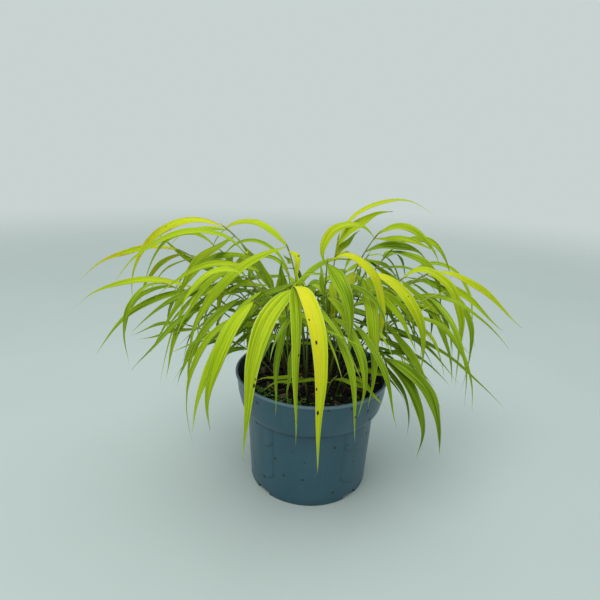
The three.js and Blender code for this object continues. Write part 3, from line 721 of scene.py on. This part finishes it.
# Looks of the leading stems' own blades, from the top of the culm down: the tone at the root and at
# the tip, how rusty a blade is, and how much its tone changes from its middle to its right edge. The
# last two are left out where they are 0. Tone 0 is deep green, 0.5 is lime and 1 is yellow.
LEADING_LOOKS = {
    "stem_01": [(0.38, 0.6, 0.2, -0.12), (0.95, 0.72, 0.1, -0.14), (0.6, 0.5, 0.2), (0.42, 0.45)],
    "stem_02": [(0.62, 0.44, 0.1), (0.6, 0.66, 0.3), (0.76, 0.56, 0.6), (0.46, 0.42, 0.3)],
    "stem_03": [(0.64, 0.44, 0, 0.05), (0.58, 0.54), (0.42, 0.5, 0.1, -0.04)],
    "stem_04": [(0.62, 0.44, 0.1), (0.42, 0.38)],
    "stem_05": [(0.84, 0.6, 0.7), (0.58, 0.6, 0.3), (0.44, 0.44, 0.3)],
    "stem_06": [(0.58, 0.7, 0.9), (0.46, 0.42, 0.8), (0.46, 0.4, 0.5), (0.42, 0.38, 0.2)],
    "stem_07": [(0.74, 0.52, 0.2), (0.46, 0.38, 0.1), (0.48, 0.44)],
    "stem_08": [(0.42, 0.38), (0.42, 0.32)],
    "stem_09": [(0.36, 0.32), (0.46, 0.4), (0.4, 0.36)],
    "stem_10": [(0.34, 0.34, 0.2), (0.48, 0.46), (0.26, 0.3)],
    "stem_11": [(0.42, 0.32), (0.92, 0.56, 0.4), (0.76, 0.46, 0.25), (0.42, 0.46)],
    "stem_12": [(0.74, 0.66, 0.3), (0.62, 0.64, 0.3), (0.46, 0.42, 0.2), (0.46, 0.5, 0.5)],
    "stem_13": [(0.86, 0.44, 0.25), (0.56, 0.44), (0.42, 0.46, 0.1)],
    "stem_14": [(0.44, 0.4, 0.1), (0.72, 0.46, 0.2)],
    "stem_15": [(0.74, 0.72, 0.4), (0.58, 0.56, 0.2), (0.48, 0.36), (0.4, 0.34)],
    "stem_16": [(0.6, 0.46, 0.1), (0.56, 0.46, 0.3), (0.42, 0.34), (0.4, 0.34, 0.1)],
    "stem_17": [(0.54, 0.42, 0.1), (0.44, 0.38, 0.1), (0.44, 0.38)],
    "stem_18": [(0.24, 0.2, 0, 0.05), (0.3, 0.18), (0.24, 0.22)],
    "stem_19": [(0.38, 0.34), (0.36, 0.36)],
    "stem_20": [(0.36, 0.36)],
    "stem_21": [(0.44, 0.4, 0.1), (0.38, 0.44)],
    "stem_22": [(0.38, 0.34), (0.36, 0.34)],
    "stem_23": [(0.42, 0.38), (0.42, 0.36), (0.44, 0.32), (0.36, 0.34), (0.44, 0.34)],
    "stem_24": [(0.42, 0.48, 0.2), (0.4, 0.42, 0.1)],
    "stem_25": [(0.4, 0.44), (0.38, 0.4, 0.1)],
    "stem_26": [(0.42, 0.5, 0.1), (0.4, 0.44)],
}
# Brown spots of some of these blades: place along the blade, place across it from -1 to 1, and size.
LEADING_SPOTS = {
    ("stem_01", 0): [(0.50, 0.7, 0.8)],
    ("stem_01", 1): [
        (0.29, -0.65, 0.8), (0.39, -0.35, 1.2), (0.58, -0.75, 0.9), (0.685, -0.35, 1.3)],
    ("stem_01", 2): [(0.625, 0.75, 1.2), (0.595, 0.8, 0.7)],
    ("stem_12", 1): [(0.97, 0.0, 1.6)],
    ("stem_02", 2): [(0.30, 0.6, 1.0)],
    ("stem_13", 0): [(0.35, 0.3, 0.6)],
    ("stem_21", 0): [(0.80, 0.6, 0.7)],
}


LOW_TONE = 0.14  # of a blade at the soil: deep green, partly as painted shade
HIGH_TONE = 0.50  # of one that reaches CROWN_TOP over it
CROWN_TOP = 170
RUSTY_SHARE = 0.08
LEADING_TWIST = 26  # most degrees that a leading blade twists
DRAWN_TWIST = 48


def leaf_look(name, rank, blade, draw):
    """How one blade is finished. The lower a drawn blade is, the greener and darker it is: partly the
    grass's own greener inner leaves, partly painted shade.
    """
    rows = LEADING_LOOKS.get(name, [])
    is_leading = rank < len(rows)
    if is_leading:
        root_tone, tip_tone, rust, lean = (*rows[rank], 0.0, 0.0)[:4]
    else:
        height = (blade.centres[:, 2].max() - SOIL_LEVEL) / CROWN_TOP
        # partly painted shade: lower drawn blades get a darker green tone
        root_tone = LOW_TONE + (HIGH_TONE - LOW_TONE) * height + draw.uniform(-0.10, 0.20)
        tip_tone = root_tone + draw.uniform(-0.14, 0.10)
        lean = draw.uniform(-0.06, 0.06)
        rust = 0.5 if draw.random() < RUSTY_SHARE else 0.0
    return {
        "root_tone": root_tone,
        "tip_tone": tip_tone,
        "lean": lean,
        "seed": draw.random(),
        "speck": rust,
        "wave": draw.uniform(0.03, 0.14),
        "waves": draw.uniform(1.2, 3.2),
        "cup": draw.uniform(0.12, 0.3),
        "twist": draw.uniform(-1, 1) * (LEADING_TWIST if is_leading else DRAWN_TWIST),
        "curl": draw.uniform(-3.5, 3.5),
        "spots": LEADING_SPOTS.get((name, rank), []),
    }


STRIP_FILL = 0.92  # how much of its share of the baked square a blade fills


def leafy_stem(name, materials, draw):
    """One stem: its blades, counted from the top of the culm down, and its culm."""
    points, near = welded(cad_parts[name])
    spear, tips = pointed_tips(points, near)
    curve = culm_curve(points, near, spear)
    blades = [read_blade(points, near, tip, curve) for tip in tips]
    blades.sort(key=lambda blade: (-blade.at, blade.tip[0]))
    builder = Builder(["across", "along", "tone", "seed", "speck", "under", "spot"])
    share = 1 / (len(blades) + 1)
    for rank, blade in enumerate(blades):
        look = leaf_look(name, rank, blade, draw)
        skin_blade(builder, blade, look, draw, (rank * share, (rank + STRIP_FILL) * share))
    strip = (1 - share, 1 - (1 - STRIP_FILL) * share)
    skin_culm(builder, curve, [blade.at for blade in blades], draw.random(), strip)
    piece = builder.make(name + "_leaves", materials)
    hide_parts(name)


# ---- pot
CORNER_RADIUS = 1.0


def rounded(profile):
    """A profile with each inner corner cut to an arc of about CORNER_RADIUS."""
    points = [np.array(p, float) for p in profile]
    result = [points[0]]
    for before, corner, after in zip(points, points[1:], points[2:]):
        back, ahead = before - corner, after - corner
        cut = min(CORNER_RADIUS, 0.45 * np.linalg.norm(back), 0.45 * np.linalg.norm(ahead))
        start, end = corner + unit(back) * cut, corner + unit(ahead) * cut
        for t in np.linspace(0, 1, CORNER_STEPS + 1):
            result.append((1 - t) ** 2 * start + 2 * t * (1 - t) * corner + t ** 2 * end)
    result.append(points[-1])
    return result


def inner_profile(gap):
    inset = WALL + gap
    return [
        (RIM_RADIUS - LIP - inset, POT_HEIGHT),
        (RIM_RADIUS - LIP - COLLAR_FLARE - inset, COLLAR_FOOT + COLLAR_BEND),
        (BODY_RADIUS + STEP_OUT - inset, COLLAR_FOOT + 1.1 * STEP_HEIGHT),
        (BODY_RADIUS + 0.57 * STEP_OUT - inset, COLLAR_FOOT + 0.6 * STEP_HEIGHT),
        (BODY_RADIUS - inset, COLLAR_FOOT + 0.16 * STEP_HEIGHT),
        (FOOT_RADIUS - inset, BASE_RISE + BASE_THICKNESS + min(gap, CLEARANCE)),
    ]


def pot_profile():
    """Radius and height from the middle of the underside, round the outside, to the floor's middle."""
    ring = FOOT_RADIUS - FOOT_RING_WIDTH
    outline = [
        (0, 0), (PAD_RADIUS, 0), (PAD_RADIUS + BASE_RISE, BASE_RISE),
        (ring - BASE_RISE, BASE_RISE), (ring, 0), (FOOT_RADIUS, 0), (BODY_RADIUS, COLLAR_FOOT),
        (BODY_RADIUS + 0.62 * STEP_OUT, COLLAR_FOOT + 0.4 * STEP_HEIGHT),
        (BODY_RADIUS + STEP_OUT, COLLAR_FOOT + STEP_HEIGHT),
        (RIM_RADIUS - LIP - COLLAR_FLARE, COLLAR_FOOT + COLLAR_BEND),
        (RIM_RADIUS - 1.4 * LIP, POT_HEIGHT - 3.5 * LIP), (RIM_RADIUS, POT_HEIGHT - 2.6 * LIP),
        (RIM_RADIUS, POT_HEIGHT), *inner_profile(0), (0, BASE_RISE + BASE_THICKNESS),
    ]
    smooth, fine = rounded(outline), []
    for start, end in zip(smooth, smooth[1:]):
        has_relief = start[1] < end[1] < COLLAR_FOOT + STEP_HEIGHT
        step = WALL_STEP if has_relief else PLAIN_STEP
        count = max(1, int(np.linalg.norm(end - start) / step))
        fine.extend(start + (end - start) * k / count for k in range(count))
    return np.array([*fine, smooth[-1]])


# Tongue-shaped panels stand a little proud of the body over each foot notch, one below the other.
PANEL_WAYS = (-135.0, -45.0, 45.0, 135.0)
PANEL_SPREAD = 22.0  # degrees either side of its way within which a panel lies
PANEL_HALF = 16.0
PANEL_FEET = (63.0, 22.0)  # height of the lowest point of each
PANEL_ROUND = 0.6  # height of its round foot, as a share of its half width
PANEL_EDGE = 1.1  # width of the slope round it
PANEL_PROUD = 0.35  # of each, the upper one on the lower one
LINE_OUT = 0.4  # how far outside a panel the shadowed line round it runs
LINE_HALF = 1.1
LINE_SHADES = (0.9, 0.315)  # round a panel's foot and up its sides
PANEL_FADE = 3.0  # the panels sink into the wall this near under the collar
CREASE_HALF = 1.1  # half width of the shadow under the step, from panel to panel
CREASE_SPREAD = 0.7  # under 1 it fades nearer to the panels
WAVER = 0.1  # unevenness of the moulded wall
WAVERS = 26


def panel_relief(arc, z):
    """How proud and how shaded the wall is at a distance along it from the panels' middle."""
    proud, shade = 0.0, 0.0
    for foot in PANEL_FEET:
        drop = foot + PANEL_HALF * PANEL_ROUND - z
        reach = math.hypot(arc, max(drop, 0.0) / PANEL_ROUND)
        edge = min(max((PANEL_HALF - reach) / PANEL_EDGE, 0.0), 1.0)
        proud += PANEL_PROUD * edge * edge * (3 - 2 * edge)
        off_line = (PANEL_HALF + LINE_OUT - reach) / LINE_HALF
        shade = max(shade, LINE_SHADES[0 if drop > 0 else 1] * math.exp(-off_line ** 2))
    return proud, shade


def body_relief(way, r, z):
    """How far the body stands proud of its plain wall at a place, and how shaded it is."""
    proud, shade = 0.0, 0.0
    for panel in PANEL_WAYS:
        apart = (math.degrees(way) - panel + 180) % 360 - 180
        if abs(apart) < PANEL_SPREAD and z < COLLAR_FOOT:
            height, line = panel_relief(math.radians(apart) * r, z)
            proud += height * min(1.0, (COLLAR_FOOT - z) / PANEL_FADE)
            shade = max(shade, line)
    proud += WAVER * math.cos(WAVERS * way) * math.sin(math.pi * min(z / COLLAR_FOOT, 1))
    between = 0.5 - 0.5 * math.cos(len(PANEL_WAYS) * (way - math.radians(PANEL_WAYS[0])))
    crease = between ** CREASE_SPREAD * math.exp(-((z - COLLAR_FOOT) / CREASE_HALF) ** 2)
    return proud, max(shade, crease)


RELIEF_HEIGHTS = (2, COLLAR_FOOT + 4)
GRIME_AND_SHADE_FADE = 9  # height over which the grime at the foot, and the painted shade with grime inside the rim, fade out
RIM_HIGHLIGHT_REACH = 0.8  # how far in from the lip's edge the painted highlight reaches


def build_pot(material):
    profile, table = pot_profile(), []
    rows = len(profile)
    outside_from = next(i for i, (r, z) in enumerate(profile) if r > FOOT_RADIUS - 1 and z < 3)
    rim = int(profile[:, 1].argmax())
    for row, (r, z) in enumerate(profile):
        if row in (0, rows - 1):
            table.append((0, 0, z, 0.5, 0.0, 0.0))
            continue
        is_outside = outside_from <= row <= rim
        # inside the rim the wall is painted darker downwards: painted shade, partly grime
        inside = 0.0 if is_outside else 0.95 * min(1.0, (POT_HEIGHT - z) / GRIME_AND_SHADE_FADE)
        grime_and_shade = max(0.5 * max(0.0, 1 - z / GRIME_AND_SHADE_FADE), inside)
        # painted highlight: a pale band round the outer edge of the lip
        rim_highlight = 0.55 * math.exp(-((r - RIM_RADIUS) / RIM_HIGHLIGHT_REACH) ** 2) if z > POT_HEIGHT - 4 else 0.0
        has_relief = is_outside and RELIEF_HEIGHTS[0] < z < RELIEF_HEIGHTS[1]
        for way in turns(POT_SIDES):
            proud, shade = body_relief(way, r, z) if has_relief else (0.0, 0.0)
            x, y = (r + proud) * math.cos(way), (r + proud) * math.sin(way)
            table.append((x, y, z, grime_and_shade, rim_highlight, shade))
    table = np.array(table)
    values = dict(zip(("grime_and_shade", "edge", "shade"), table[:, 3:].T))
    faces = turned_faces(rows - 2, POT_SIDES)
    pot = make_piece("pot_body", table[:, :3], faces, [material], values)
    cut_base(pot)
    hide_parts("pot")


def around(count, reach):
    """Angles and places in metres, evenly round the pot's middle."""
    for turn in turns(count) + math.pi / count:
        yield turn, Vector((math.cos(turn), math.sin(turn), 0)) * reach * MM


def cut_base(pot):
    """Drain holes in the floor and notches through the foot ring."""
    cutters = []
    depth = 4 * (BASE_RISE + BASE_THICKNESS)
    for _, place in around(DRAIN_HOLES, DRAIN_CIRCLE):
        bpy.ops.mesh.primitive_cylinder_add(
            radius=DRAIN_RADIUS * MM, depth=depth * MM, vertices=DRAIN_SIDES, location=place)
        cutters.append(bpy.context.object)
    notch = Vector((2 * FOOT_RING_WIDTH, NOTCH_WIDTH, 2 * NOTCH_HEIGHT)) * MM
    for turn, place in around(FOOT_NOTCHES, FOOT_RADIUS):
        bpy.ops.mesh.primitive_cube_add(size=1, location=place, rotation=(0, 0, turn), scale=notch)
        cutters.append(bpy.context.object)
    for cutter in cutters:
        modifier = pot.modifiers.new("cut", "BOOLEAN")
        modifier.operation = "DIFFERENCE"
        modifier.solver = "EXACT"
        modifier.object = cutter
    bpy.context.view_layer.update()
    graph = bpy.context.evaluated_depsgraph_get()
    cut_mesh = bpy.data.meshes.new_from_object(pot.evaluated_get(graph))
    pot.modifiers.clear()
    pot.data = cut_mesh
    for cutter in cutters:
        bpy.data.objects.remove(cutter)


# ---- soil
CRUMB_SIZE = 4.5
CRUMB_HEIGHT = 1.3
SOIL_EDGE_DROP = 1.5  # the surface turns down where it meets the wall
SOIL_EDGE_LEVEL = SOIL_LEVEL - 4
SOIL_TONE = 0.35


def soil_height(x, y):
    """The lumpy surface of the model's soil, with crumbs on it."""
    wide = math.sin(x / 17 + 1.2) * math.cos(y / 14 - 0.6)
    middle = math.sin(x / 6.1 - y / 8.3) * math.sin(y / 5.2 + x / 11)
    small = math.sin(x / 2.7 + 2 * math.sin(y / 3.3))
    crumbs = noise.fractal(Vector((x / CRUMB_SIZE, y / CRUMB_SIZE, 3.0)), 1.0, 2.0, 4)
    lumps = 0.42 * wide + 0.4 * middle + 0.3 * small
    return SOIL_LEVEL + SOIL_LUMPS * lumps + CRUMB_HEIGHT * crumbs


def build_soil(material):
    wall = inner_profile(SOIL_GAP)
    (top_radius, top_level), (bend_radius, bend_level) = wall[:2]
    edge_radius = np.interp(SOIL_EDGE_LEVEL, [bend_level, top_level], [bend_radius, top_radius])
    points = [(0, 0, soil_height(0, 0))]
    for ring in range(1, SOIL_RINGS + 1):
        r = edge_radius * (ring / SOIL_RINGS) ** 0.8
        drop = SOIL_EDGE_DROP if ring == SOIL_RINGS else 0.0
        for turn in turns(SOIL_SIDES):
            x, y = r * math.cos(turn), r * math.sin(turn)
            points.append((x, y, soil_height(x, y) - drop))
    for r, z in wall[1:]:
        points.extend((r * math.cos(turn), r * math.sin(turn), z) for turn in turns(SOIL_SIDES))
    points.append((0, 0, wall[-1][1]))
    # the rings run down from the top here, so the faces are turned over
    rows = SOIL_RINGS + len(wall) - 1
    faces = [(face[0], *face[:0:-1]) for face in turned_faces(rows, SOIL_SIDES)]
    tone = {"tone": [SOIL_TONE] * len(points)}
    soil = make_piece("soil_surface", points, faces, [material], tone)
    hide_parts("soil")


def ball():
    """Points and faces of a ball of radius 1."""
    mesh = bpy.data.meshes.new("ball")
    made = bmesh.new()
    bmesh.ops.create_icosphere(made, subdivisions=BALL_DETAIL, radius=1)
    made.to_mesh(mesh)
    made.free()
    points = np.array([v.co for v in mesh.vertices])
    faces = [list(p.vertices) for p in mesh.polygons]
    bpy.data.meshes.remove(mesh)
    return points, faces


def scatter(draw, reach):
    """A place within reach of the middle."""
    r, way = reach * math.sqrt(draw.random()), draw.uniform(0, 2 * math.pi)
    return r * math.cos(way), r * math.sin(way)


def roughened(points, amount, fineness, offset):
    """The points of a ball pushed in and out by noise, each ball's at its own offset."""
    places = [Vector(p * fineness) + Vector((offset, 0, 0)) for p in points]
    return np.array([1 + amount * noise.noise(place) for place in places])[:, None]


CHIPS = 230
CHIP_REACH = 74  # from the middle
CHIP_SIZES = [1.6, 2.2, 3.0, 4.2, 6.0]
CHIP_TONES = [0.05, 0.2, 0.35, 0.5, 0.95]
CHIP_SQUARENESS = 0.6  # under 1 a chip is blockier than a ball
PALE_CHIP = (-28.0, -40.0)  # where the one big pale chip lies
PALE_CHIP_SCALE = (4.6, 3.0, 1.6)
PALE_CHIP_TILT = (0.3, -0.2, 0.5)
PALE_CHIP_TONE = 1.3


def build_bark(material, draw):
    """Chips of bark and lumps of peat lying on the soil."""
    sphere, faces = ball()
    squared = np.sign(sphere) * np.abs(sphere) ** CHIP_SQUARENESS
    builder = Builder(["tone"])

    def lay(x, y, scale, offset, tilt, tone):
        local = squared * roughened(sphere, 0.55, 1.4, offset) * scale
        turned = local @ np.array(Euler(tilt).to_matrix()).T
        builder.add(turned + [x, y, soil_height(x, y) + 0.5 * scale[2]], faces, tone=tone)

    for _ in range(CHIPS):
        x, y = scatter(draw, CHIP_REACH)
        size = draw.choice(CHIP_SIZES)
        shape = [draw.uniform(0.8, 1.5), draw.uniform(0.4, 0.7), draw.uniform(0.2, 0.4)]
        offset = draw.uniform(0, 100)
        tilt = (draw.uniform(-0.5, 0.5), draw.uniform(-0.5, 0.5), draw.uniform(0, 6.28))
        lay(x, y, size * np.array(shape), offset, tilt, draw.choice(CHIP_TONES))
    lay(*PALE_CHIP, np.array(PALE_CHIP_SCALE), 7.0, PALE_CHIP_TILT, PALE_CHIP_TONE)
    return builder.make("bark_chips", [material])


FIBRES = 150
FIBRE_REACH = 68  # from the middle to where one may start
FIBRE_LIMIT = 76  # and to where it may go
FIBRE_TONE_CHOICES = [0.2, 0.35, 0.6, 0.9]
FIBRE_TAPER = 0.6
PALE_TWIG = [(-53, 0), (-46, -17), (-35, -35)]  # x and y of its ends and its middle
PALE_TWIG_RADIUS = 0.55


def build_fibres(material, draw):
    """Fine roots, twigs and peat fibres, thin tubes that follow the soil."""
    builder = Builder(["tone"])
    taper = 1 - FIBRE_TAPER * np.linspace(0, 1, FIBRE_ROWS)

    def lay(centre, radius, tone):
        tangent = unit(np.gradient(centre, axis=0))
        side = unit(np.cross(tangent, [0, 0, 1]))
        points = tube(centre, radius * taper, np.cross(tangent, side), side, FIBRE_SIDES)
        tip = centre[-1] + tangent[-1]
        builder.add([*points, tip], loop_faces(FIBRE_ROWS, FIBRE_SIDES), tone=tone)

    for _ in range(FIBRES):
        x, y = scatter(draw, FIBRE_REACH)
        way, bend = draw.uniform(0, 2 * math.pi), draw.uniform(-1.6, 1.6)
        length, radius = draw.uniform(7, 26), draw.uniform(0.14, 0.42)
        centre = []
        for _ in range(FIBRE_ROWS):
            centre.append((x, y, soil_height(x, y) + radius + draw.uniform(0, 0.9)))
            way += bend / FIBRE_ROWS
            x += length / FIBRE_ROWS * math.cos(way)
            y += length / FIBRE_ROWS * math.sin(way)
            beyond = max(math.hypot(x, y) / FIBRE_LIMIT, 1.0)
            x, y = x / beyond, y / beyond
        lay(np.array(centre), radius, draw.choice(FIBRE_TONE_CHOICES))
    route = spline([0, 0.5, 1], PALE_TWIG, np.linspace(0, 1, FIBRE_ROWS))
    lay(np.array([(x, y, soil_height(x, y) + 1.2) for x, y in route]), PALE_TWIG_RADIUS, 1.0)
    return builder.make("soil_fibres", [material])


# Moss grows in patches by the front of the rim: middle x and y, and radius.
MOSS_PATCHES = [
    (-48, -36, 9), (-38, -45, 8), (-57, -28, 7), (-25, -50, 6), (-9, -50, 7), (3, -48, 6),
    (19, -43, 6), (46, -36, 6), (30, -30, 5), (-60, 30, 8), (20, 62, 8),
]
MOSS_DENSITY = 0.55  # mounds in a patch, per square of its radius
MOSS_LIMIT = 75


def build_moss(material, draw):
    """Cushions of little mounds."""
    sphere, faces = ball()
    builder = Builder(["tone"])
    for middle_x, middle_y, reach in MOSS_PATCHES:
        for _ in range(int(reach * reach * MOSS_DENSITY)):
            x, y = scatter(draw, reach)
            x, y = middle_x + x, middle_y + y
            if math.hypot(x, y) > MOSS_LIMIT:
                continue
            size = draw.uniform(0.7, 1.5)
            rough = roughened(sphere, 0.5, 2.6, draw.uniform(0, 100))
            points = sphere * rough * [size, size, 0.75 * size]
            level = soil_height(x, y) + 0.25 * size
            builder.add(points + [x, y, level], faces, tone=draw.uniform(0.2, 0.9))
    return builder.make("moss", [material])


# ---- stage
FLOOR_FADE_FROM = 0.7  # metres from the middle of the pot
FLOOR_FADE_TO = 2.6
FLOOR_TONES = [(0.3, (0.43, 0.49, 0.482)), (0.7, (0.45, 0.51, 0.502))]
HAZE = (0.80, 0.905, 0.885, 1)
HAZE_STRENGTH = 0.72
LAMPS = [  # name, place, size, power and colour
    ("key", (-0.5, -0.7, 1.7), 1.0, 15, (1.0, 0.99, 0.95)),
    ("top", (0.3, 0.4, 1.9), 1.4, 12, (0.97, 1.0, 0.99)),
]
LAMP_TARGET = Vector((0, 0, 0.15))


def build_stage():
    """A pale floor that fades into the studio's haze far from the pot."""
    s = Shader("studio_floor")
    near = s.surface(s.ramp(s.noise(s.place(), 3.0, 2.0), FLOOR_TONES), 0.75, 0.2)
    far = s.node("BsdfTransparent")
    distance = s.node("VectorMath", {0: s.place()}, "Value", operation="LENGTH")
    fade = s.window(distance, FLOOR_FADE_FROM, FLOOR_FADE_TO)
    material = s.finish(s.node("MixShader", {"Fac": fade, 1: near, 2: far}))
    mesh = bpy.data.meshes.new("floor")
    size = FLOOR_FADE_TO
    corners = [(-size, -size, 0), (size, -size, 0), (size, size, 0), (-size, size, 0)]
    mesh.from_pydata(corners, [], [(0, 1, 2, 3)])
    mesh.materials.append(material)
    put("floor", mesh)


def build_lights():
    world = bpy.data.worlds.new("studio")
    bpy.context.scene.world = world
    world.use_nodes = True
    background = world.node_tree.nodes["Background"]
    background.inputs["Color"].default_value = HAZE
    background.inputs["Strength"].default_value = HAZE_STRENGTH
    for name, place, size, power, colour in LAMPS:
        data = bpy.data.lights.new(name, "AREA")
        data.size = size
        data.energy = power
        data.color = colour
        lamp = put(name, data)
        lamp.location = place
        lamp.rotation_mode = "QUATERNION"
        lamp.rotation_quaternion = (LAMP_TARGET - lamp.location).to_track_quat("-Z", "Y")


def build_camera():
    data = bpy.data.cameras.new("camera")
    data.sensor_width = SENSOR_WIDTH
    data.lens = CAMERA_LENS
    data.clip_start = 0.01
    camera = put("camera", data)
    camera.location = Vector(CAMERA_PLACE) * MM
    turn = Matrix.Identity(3)
    for angle, axis in ((CAMERA_YAW, "Z"), (90 + CAMERA_PITCH, "X"), (CAMERA_ROLL, "Z")):
        turn = turn @ Matrix.Rotation(math.radians(angle), 3, axis)
    camera.rotation_mode = "QUATERNION"
    camera.rotation_quaternion = turn.to_quaternion()
    bpy.context.scene.camera = camera


# ---- the whole
STEM_SEED = 1000


def main():
    bpy.context.scene.view_settings.view_transform = "Standard"
    build_camera()
    build_lights()
    build_stage()
    grass = [leaf_material(), culm_material()]
    names = sorted(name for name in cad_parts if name.startswith("stem_"))
    for number, name in enumerate(names):
        leafy_stem(name, grass, random.Random(STEM_SEED + number))
    build_pot(pot_material())
    build_soil(earth_material("peat", PEAT_TONES, 260.0, 0.0008))
    build_bark(earth_material("bark", PEAT_TONES, 190.0, 0.0005, 0.8), random.Random(21))
    build_fibres(earth_material("fibre", FIBRE_TONES, 150.0, 0.0002, 0.75), random.Random(22))
    build_moss(earth_material("moss", MOSS_TONES, 600.0, 0.0004), random.Random(23))


main()
